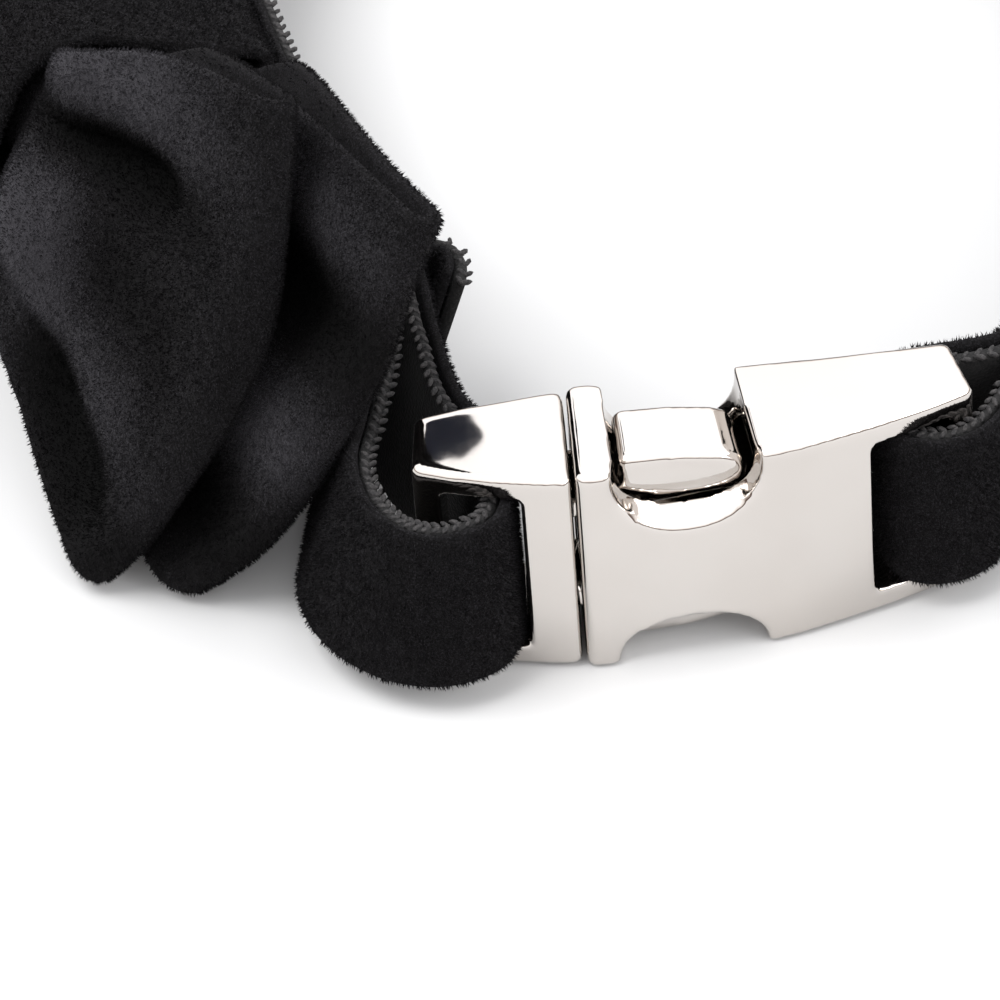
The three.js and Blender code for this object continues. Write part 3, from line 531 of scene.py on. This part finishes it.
BOW_LOOPS = {
    "bow_front": dict(
        reach=51.0, sweep_top=0.17, sweep_bottom=0.17, slant_top=0.8, slant_bottom=0.8, end_top=32.5,
        end_bottom=37.0, gather_top=19.0, gather_bottom=17.0, knot_front=25.4, knot_back=15.9,
        knot_round=5.6, end_front=32.5, end_back=28.6, low_flare_front=0.0, low_flare_back=0.0,
        puff=3.8, folds=FRONT_FOLDS,
    ),
    "bow_back": dict(
        reach=58.8, sweep_top=0.05, sweep_bottom=0.2, slant_top=4.5, slant_bottom=-1.0, end_top=26.8,
        end_bottom=32.0, gather_top=19.0, gather_bottom=16.0, knot_front=13.0, knot_back=3.0,
        knot_round=0.0, end_front=23.6, end_back=20.4, low_flare_front=2.8, low_flare_back=0.0,
        puff=0.0, folds=REAR_FOLDS,
    ),
}

BACK_FOLDS = [
    dict(v=(0.6, 0.7, 0.7), rise=(0, 0.9, 0.6), width=0.22),
    dict(v=(0.1, 0.15, 0.1), rise=(0, -2.0, -0.8), width=0.25),
    dict(v=(-0.5, -0.55, -0.5), rise=(0, 1.2, 0.6), width=0.22),
]


def smooth(x, low, high):
    t = np.clip((x - low) / (high - low), 0, 1)
    return t * t * (3 - 2 * t)


def along(values, t):
    """Value at share t of a column given at even stations from the knot to the end."""
    t = np.asarray(t, float) * (len(values) - 1)
    row = np.minimum(t.astype(int), len(values) - 2)
    values = np.asarray(values, float)
    return values[row] + (values[row + 1] - values[row]) * smooth(t - row, 0, 1)


def fold_rise(folds, t, v):
    """Height of the folds at share t of the way from knot to end, and place v up the loop."""
    total = np.zeros(np.broadcast(t, v).shape)
    for fold in folds:
        distance = (v - along(fold["v"], t)) / fold["width"]
        total += along(fold["rise"], t) * np.exp(-(distance**2))
    return total


knot_place, knot_tangent, _, knot_normal = (
    x[0] for x in strap_frames(np.array([KNOT_ROW / (len(STRAP_ROUTE) - 1)]))
)
BOW_SEAT = knot_place + knot_normal * (VELVET_THICKNESS + 1.5 * TOUCH_GAP)
BOW_FLAT = np.array([-knot_tangent[1], knot_tangent[0], 0.0])


def bow_points(s, h, n):
    """Places from s along the bow, h up it and n out from the velvet behind it."""
    turn = smooth(np.abs(s), YAW_START, YAW_START + YAW_LENGTH)
    yaw = np.where(s > 0, NEAR_YAW, FAR_YAW) * turn * np.sign(s)
    outward = n * math.cos(KNOT_LEAN) - h * math.sin(KNOT_LEAN)
    run = s * np.cos(yaw) + outward * np.sin(yaw)
    away = outward * np.cos(yaw) - s * np.sin(yaw)
    height = h * math.cos(KNOT_LEAN) + n * math.sin(KNOT_LEAN)
    return (
        BOW_SEAT
        - run[..., None] * knot_tangent
        + away[..., None] * BOW_FLAT
        + height[..., None] * np.array([0, 0, 1.0])
    )


def half_height(loop, s, n, v):
    """Height of a loop above or below its middle, cut off where it would pass the floor."""
    spread = np.where(v > 0, loop["gather_top"], loop["gather_bottom"])
    gathered = 1 - np.exp(-np.maximum(0, s - KNOT_HALF_WIDTH) / spread)
    end = np.where(v > 0, loop["end_top"], loop["end_bottom"])
    free = KNOT_HALF_HEIGHT + (end - KNOT_HALF_HEIGHT) * gathered
    floor = (BOW_SEAT[2] + (n - BOW_WALL) * math.sin(KNOT_LEAN)) / math.cos(KNOT_LEAN)
    return np.where(v > 0, free, np.minimum(free, floor))


def bow_grid(loop, rows=51, front_columns=52, back_columns=22, turn_columns=8):
    """Middle points of a loop's cloth, round both of its halves, and their painted fold shading: shade
    in the creases and highlight on the ridges.
    """
    half = [(1, 0.0, 0.0, True)]
    half += [(1, i / front_columns, 0.0, False) for i in range(front_columns)]
    half += [(1, 1.0, math.pi * i / turn_columns, False) for i in range(turn_columns + 1)]
    half += [(1, i / back_columns, math.pi, False) for i in range(back_columns - 1, -1, -1)]
    half.append((1, 0.0, math.pi, True))
    other = [(-1, *rest) for _, *rest in reversed(half)]
    table = np.array([tuple(map(float, row)) for row in half[:-1] + other[:-1]])
    side, t, turn, centre = (table[:, k : k + 1] for k in range(4))
    v = 2 * edge_spacing(rows, BOW_EDGE_SHARE, 1.0)[None]
    ease = np.sin(math.pi / 2 * t)
    low = np.maximum(0, -v) ** LOW_FLARE_POWER
    end_front = loop["end_front"] + loop["low_flare_front"] * low
    end_back = loop["end_back"] + loop["low_flare_back"] * low
    rounding = loop["knot_round"] * v**KNOT_ROUND_POWER * (1 - smooth(t, 0, KNOT_ROUND_SHARE))
    front = loop["knot_front"] + (end_front - loop["knot_front"]) * ease
    front = front + loop["puff"] * (t / PUFF_SHARE) ** 2 * np.exp(2 - 2 * t / PUFF_SHARE) - rounding
    back = loop["knot_back"] + (end_back - loop["knot_back"]) * ease
    radius = (end_front - end_back) / 2
    rise = fold_rise(loop["folds"], t, v)
    front_n = front + rise
    back_n = back + fold_rise(BACK_FOLDS, t, v)
    n = back_n + (front_n - back_n) * (1 + np.cos(turn)) / 2
    slant = np.where(v > 0, loop["slant_top"], loop["slant_bottom"])
    sweep = np.where(v > 0, loop["sweep_top"], loop["sweep_bottom"])
    reach = loop["reach"] * (1 - sweep * v * v) + slant * v - radius
    s = np.where(centre > 0, 0, KNOT_HALF_WIDTH + (reach - KNOT_HALF_WIDTH) * t + radius * np.sin(turn))
    # Painted shade in the creases and painted highlight on the ridges, from the fold heights, on the
    # front panel only and fading out round the end to the back panel
    crease = np.clip(-rise * FOLD_SHADE_SHARE, -FOLD_SHADE_LIMIT, FOLD_SHADE_LIMIT) * (1 + np.cos(turn)) / 2
    return bow_points(side * s, v * half_height(loop, s, n, v), n), crease


def add_bow(name):
    grid, crease = bow_grid(BOW_LOOPS[name])
    piece = cloth(name + "_velvet", grid, BOW_WALL, True, VELVET, crease)
    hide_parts(name)
    return piece, grid


bow_front, front_grid = add_bow("bow_front")
bow_back, back_grid = add_bow("bow_back")


KNOT_WALL, KNOT_EASE, KNOT_CROWN = 1.6, 1.7, 0.9
KNOT_FRONT_RADIUS, KNOT_BACK_RADIUS = 8.0, 2.4
KNOT_EDGE_SHARE = 0.045


def knot_grid(corner_steps=12, side_steps=10, rows=26):
    """Middle points of the band's cloth: a rounded ring, carried along the bow and crowned in front."""
    front = BOW_LOOPS["bow_front"]["knot_front"] + BOW_WALL / 2 + KNOT_EASE + KNOT_WALL / 2
    back = KNOT_WALL / 2
    half = KNOT_HALF_HEIGHT + KNOT_EASE + KNOT_WALL / 2
    # Height, place outward, radius and first angle of each corner of the ring
    corners = [
        (half, back, KNOT_BACK_RADIUS, -90),
        (half, front, KNOT_FRONT_RADIUS, 0),
        (-half, front, KNOT_FRONT_RADIUS, 90),
        (-half, back, KNOT_BACK_RADIUS, 180),
    ]
    ring = []
    for h, n, r, start in corners:
        centre = np.array([h - math.copysign(r, h), n + r if n == back else n - r])
        angles = np.radians(start + np.linspace(0, 90, corner_steps + 1))
        arc = centre + r * np.stack([np.cos(angles), np.sin(angles)], 1)
        if ring:
            ring.append(np.linspace(ring[-1][-1], arc[0], side_steps + 1)[1:-1])
        ring.append(arc)
    ring.append(np.linspace(ring[-1][-1], ring[0][0], side_steps + 1)[1:-1])
    ring = np.concatenate(ring)
    w = 2 * edge_spacing(rows, KNOT_EDGE_SHARE, 1.0)[None]
    h, n = ring[:, :1], ring[:, 1:]
    crown = KNOT_CROWN * (1 - w * w) * (n - back) / front
    return bow_points(w * KNOT_HALF_WIDTH + 0 * h, h + 0 * w, n + crown)


band_grid = knot_grid()
band = cloth("bow_knot_velvet", band_grid, KNOT_WALL, True, VELVET)
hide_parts("bow_knot")


PILE_WIDTH = 0.15
# Shortest and longest blade as shares of the pile's length
PILE_REACH = (0.7, 1.05)
# Lean of the blades beside a normal of length 1, and how much they differ
NAP = np.array([0.2, -0.3, 0.1])
NAP_SPREAD = 0.26


def add_pile(piece, count, length, seed, outer_share, inner_share):
    """Short fibres standing on a velvet piece: one thin blade each, leaning with the nap.

    The shares say how dense they stand on the side that the grid's normals leave, and on the other.
    """
    rng = np.random.default_rng(seed)
    mesh = piece.data
    mesh.calc_loop_triangles()
    points = np.zeros(len(mesh.vertices) * 3, np.float32)
    mesh.vertices.foreach_get("co", points)
    points = points.reshape(-1, 3).astype(float)
    normals = np.zeros(len(mesh.vertices) * 3, np.float32)
    mesh.vertices.foreach_get("normal", normals)
    normals = normals.reshape(-1, 3).astype(float)
    corners = np.zeros(len(mesh.loop_triangles) * 3, np.int32)
    mesh.loop_triangles.foreach_get("vertices", corners)
    corners = corners.reshape(-1, 3)
    a, b, c = (points[corners[:, k]] for k in range(3))
    weight = np.linalg.norm(np.cross(b - a, c - a), axis=1)
    weight = weight * np.where(corners.min(1) < len(points) // 2, outer_share, inner_share)
    pick = rng.choice(len(corners), count, p=weight / weight.sum())
    u, v = rng.random((2, count, 1))
    flip = u + v > 1
    u, v = np.where(flip, 1 - u, u), np.where(flip, 1 - v, v)
    root = a[pick] + u * (b - a)[pick] + v * (c - a)[pick]
    na, nb, nc = (normals[corners[pick, k]] for k in range(3))
    normal = unit(na * (1 - u - v) + nb * u + nc * v)
    lean = unit(normal + NAP + rng.normal(0, NAP_SPREAD, (count, 3)))
    reach = length * MM * rng.uniform(*PILE_REACH, (count, 1))
    across = unit(np.cross(lean, rng.normal(0, 1, (count, 3)))) * PILE_WIDTH * MM / 2
    tip = root + lean * reach
    tip[:, 2] = np.maximum(tip[:, 2], 0)
    blades = np.stack([root - across, root + across, tip], 1)
    faces = np.arange(3 * count).reshape(-1, 3)
    # The blades take the painted fold shade and highlight of the cloth under them
    crease = np.zeros(len(points), np.float32)
    if FOLD_SHADE_AND_HIGHLIGHT in mesh.attributes:
        mesh.attributes[FOLD_SHADE_AND_HIGHLIGHT].data.foreach_get("value", crease)
    crease = np.repeat(crease[corners[pick, 0]], 3)
    name = piece.name.rsplit("_", 1)[0] + "_pile"
    return [mesh_object(name, blades, faces, PILE, crease=crease)]


front_pile = add_pile(bow_front, count=160000, length=0.55, seed=11, outer_share=1, inner_share=0.12)
back_pile = add_pile(bow_back, count=145000, length=0.55, seed=12, outer_share=1, inner_share=0.12)
band_pile = add_pile(band, count=36000, length=0.5, seed=13, outer_share=1, inner_share=0.05)
# The normals of the strip's grid point at the webbing
facing_pile = add_pile(facing, count=160000, length=0.6, seed=14, outer_share=0.03, inner_share=1)


CAST_VOXEL = 0.3
CAST_RELAX, CAST_RELAX_STEPS = 0.5, 10


def polished(node, body):
    """Smooth cast copy of a CAD node of the buckle."""
    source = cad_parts[node]
    piece = bpy.data.objects.new(node + "_cast", source.data.copy())
    bpy.context.scene.collection.objects.link(piece)
    remesh = piece.modifiers.new("remesh", "REMESH")
    remesh.mode = "VOXEL"
    remesh.voxel_size = CAST_VOXEL * MM
    relax = piece.modifiers.new("relax", "SMOOTH")
    relax.factor, relax.iterations = CAST_RELAX, CAST_RELAX_STEPS
    graph = bpy.context.evaluated_depsgraph_get()
    mesh = bpy.data.meshes.new_from_object(piece.evaluated_get(graph))
    piece.modifiers.clear()
    piece.data = mesh
    mesh.materials.clear()
    mesh.materials.append(METAL)
    mesh.polygons.foreach_set("use_smooth", np.ones(len(mesh.polygons), bool))
    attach(piece, body)
    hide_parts(node)


polished("buckle_male", "collar")
polished("buckle_female", "collar")
polished("release_lever_top", "lever_top")
polished("release_lever_bottom", "lever_bottom")


FLOOR_COLOUR = (0.44, 0.44, 0.44, 1)
FLOOR_HALF_SIZE = 3.0


def add_floor():
    material, _, shader = new_material("pale_floor")
    shader.inputs["Base Color"].default_value = FLOOR_COLOUR
    shader.inputs["Roughness"].default_value = 0.9
    mesh = bpy.data.meshes.new("floor")
    signs = ((-1, -1), (1, -1), (1, 1), (-1, 1))
    corners = [(FLOOR_HALF_SIZE * x, FLOOR_HALF_SIZE * y, 0) for x, y in signs]
    mesh.from_pydata(corners, [], [(0, 1, 2, 3)])
    mesh.materials.append(material)
    floor = bpy.data.objects.new("floor", mesh)
    bpy.context.scene.collection.objects.link(floor)


# Point of the plug half's top where the card is seen, and the card's distance, half size and corners
CARD_SEEN_AT = (-26.4, 4.2, 27.8)
CARD_DISTANCE, CARD_HALF_WIDTH, CARD_HALF_HEIGHT, CARD_STEPS = 45.0, 3.6, 3.4, 48


def add_dark_card():
    """Small dark card behind the buckle, seen only in the polished top of its plug half."""
    a, e = math.radians(VIEW_AZIMUTH), math.radians(VIEW_ELEVATION)
    mirrored = np.array([-math.sin(a) * math.cos(e), math.cos(a) * math.cos(e), math.sin(e)])
    side = unit(np.cross(mirrored, (0, 0, 1)))
    rise = np.cross(side, mirrored)
    angle = np.linspace(0, 2 * math.pi, CARD_STEPS, endpoint=False)[:, None]
    oval = np.cos(angle) * side * CARD_HALF_WIDTH + np.sin(angle) * rise * CARD_HALF_HEIGHT
    unevenness = 1 + 0.1 * np.sin(3 * angle + 0.6) + 0.05 * np.sin(7 * angle)
    rim = np.array(CARD_SEEN_AT) + mirrored * CARD_DISTANCE + unevenness * oval
    material, _, shader = new_material("dark_card")
    shader.inputs["Base Color"].default_value = (0.012, 0.016, 0.035, 1)
    shader.inputs["Roughness"].default_value = 0.9
    mesh = bpy.data.meshes.new("dark_card")
    mesh.from_pydata([tuple(p) for p in metres(rim)], [], [tuple(range(CARD_STEPS))])
    mesh.materials.append(material)
    card = bpy.data.objects.new("dark_card", mesh)
    bpy.context.scene.collection.objects.link(card)
    card.visible_camera = card.visible_shadow = card.visible_diffuse = False


# Dim and warm below, white above: place on the way from the horizon to the top, and colour
SKY_SHADES = [
    (0.0, (0.10, 0.07, 0.055)),
    (0.10, (0.14, 0.10, 0.085)),
    (0.24, (0.80, 0.76, 0.74)),
    (0.45, (1.1, 1.1, 1.12)),
]
SKY_STRENGTH = 1.7


def add_world():
    world = bpy.data.worlds.new("studio")
    bpy.context.scene.world = world
    world.use_nodes = True
    tree = world.node_tree
    coords = tree.nodes.new("ShaderNodeTexCoord")
    split = tree.nodes.new("ShaderNodeSeparateXYZ")
    tree.links.new(coords.outputs["Generated"], split.inputs["Vector"])
    sky = ramp(tree, split.outputs["Z"], SKY_SHADES)
    background = tree.nodes["Background"]
    tree.links.new(sky.outputs["Color"], background.inputs["Color"])
    background.inputs["Strength"].default_value = SKY_STRENGTH


bpy.context.scene.view_settings.view_transform = "Standard"
add_floor()
add_dark_card()
add_world()
add_camera()
area_light("key", place=(-0.6, -0.1, 1.5), size=(0.8, 0.8), power=28)
area_light("fill", place=(0.6, -0.5, 0.5), size=(0.6, 0.4), power=4)
